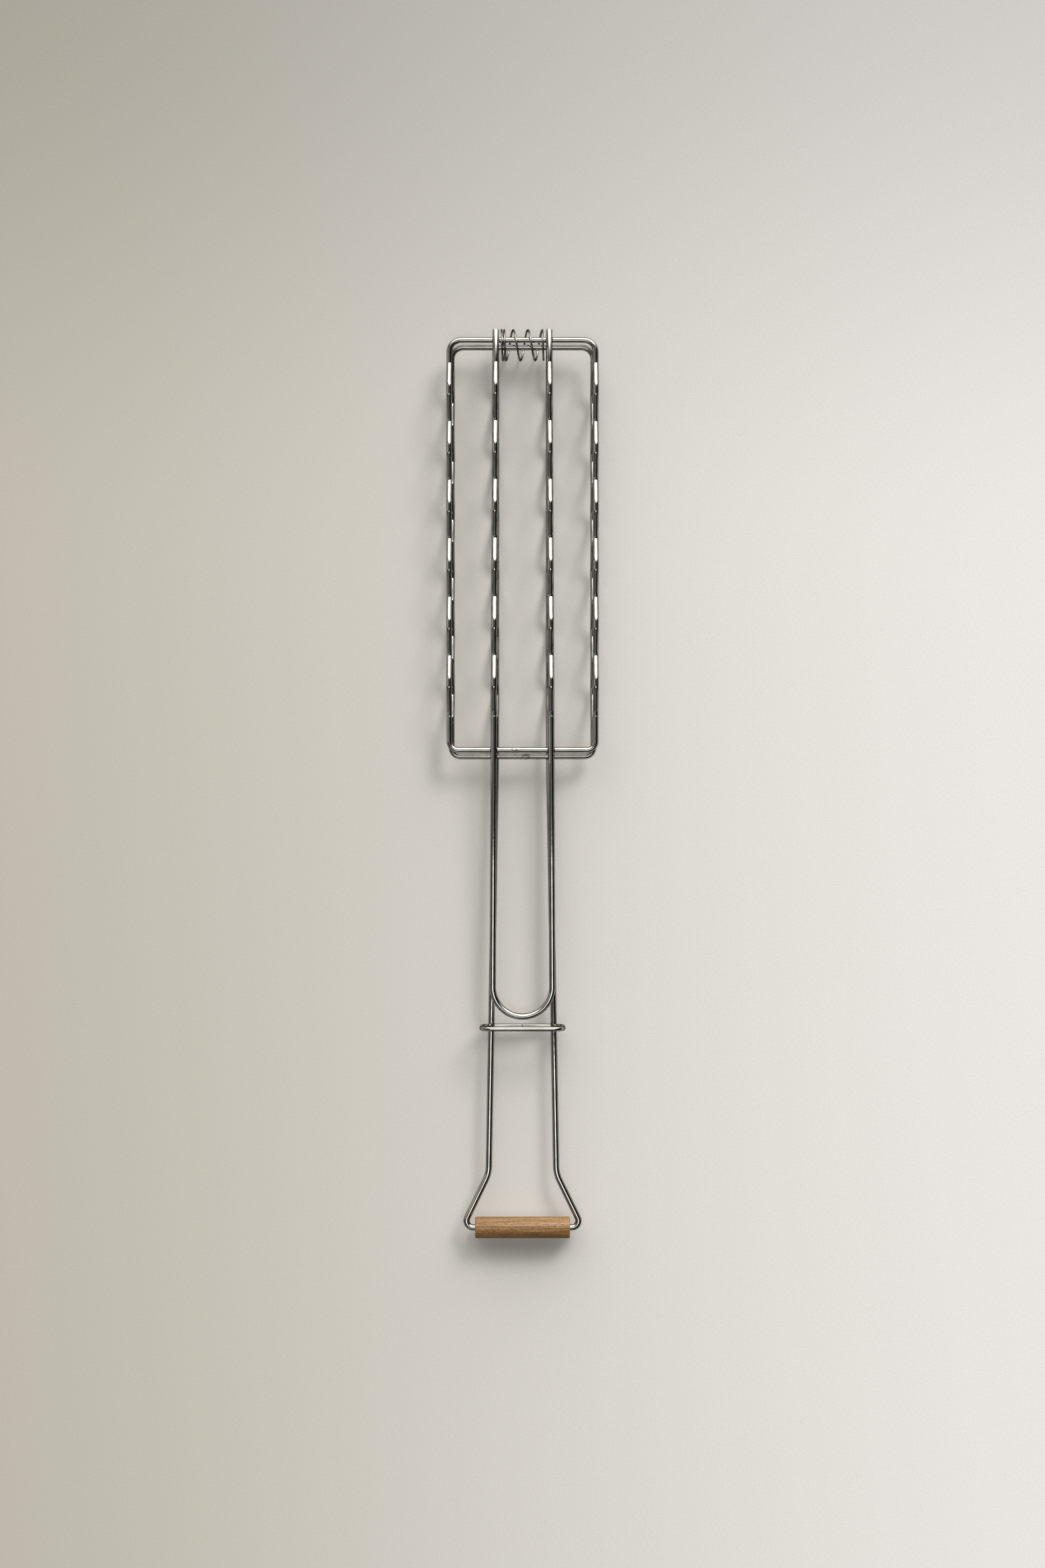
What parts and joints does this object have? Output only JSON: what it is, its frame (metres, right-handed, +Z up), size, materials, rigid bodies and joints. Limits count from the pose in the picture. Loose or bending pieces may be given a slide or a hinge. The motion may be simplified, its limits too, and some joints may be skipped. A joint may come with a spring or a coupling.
{
  "type": "grill basket",
  "caption": "Long hinged wire basket for grilling food over coals: two wave-bent grids, spring hinge, sliding locking ring and wooden grip.",
  "frame": {"origin": "bottom centre of the closed basket's box, on the surface it lies on", "axes": "+Y along the length to the hinge end, +Z up out of the upper grid, +X across"},
  "size_m": [0.091, 0.5467, 0.0315],
  "materials": {
    "plated_wire": "bright plated steel wire",
    "spring_wire": "bright spring steel wire",
    "grip_wood": "oiled turned wood"
  },
  "bodies": {
    "lower_grid": {"lower_loop": "plated_wire", "lower_handle_wire": "plated_wire", "hinge_spring": "spring_wire"},
    "upper_grid": {"upper_loop": "plated_wire", "upper_handle_wire": "plated_wire"},
    "ring": {"locking_ring": "plated_wire"},
    "grip": {"wooden_grip": "grip_wood"}
  },
  "joints": [
    {"name": "grid_hinge", "type": "hinge", "parent": "lower_grid", "child": "upper_grid", "pos_m": [0, 0.26581, 0.01765], "axis": [-1, 0, 0], "range_deg": [0, 110]},
    {"name": "ring_slide", "type": "slide", "parent": "lower_grid", "child": "ring", "axis": [0, -1, 0.009], "range_m": [-0.1558, 0.055]},
    {"name": "grip_spin", "type": "hinge", "parent": "lower_grid", "child": "grip", "pos_m": [0, -0.26681, 0.0124], "axis": [1, 0, 0], "continuous": true}
  ]
}
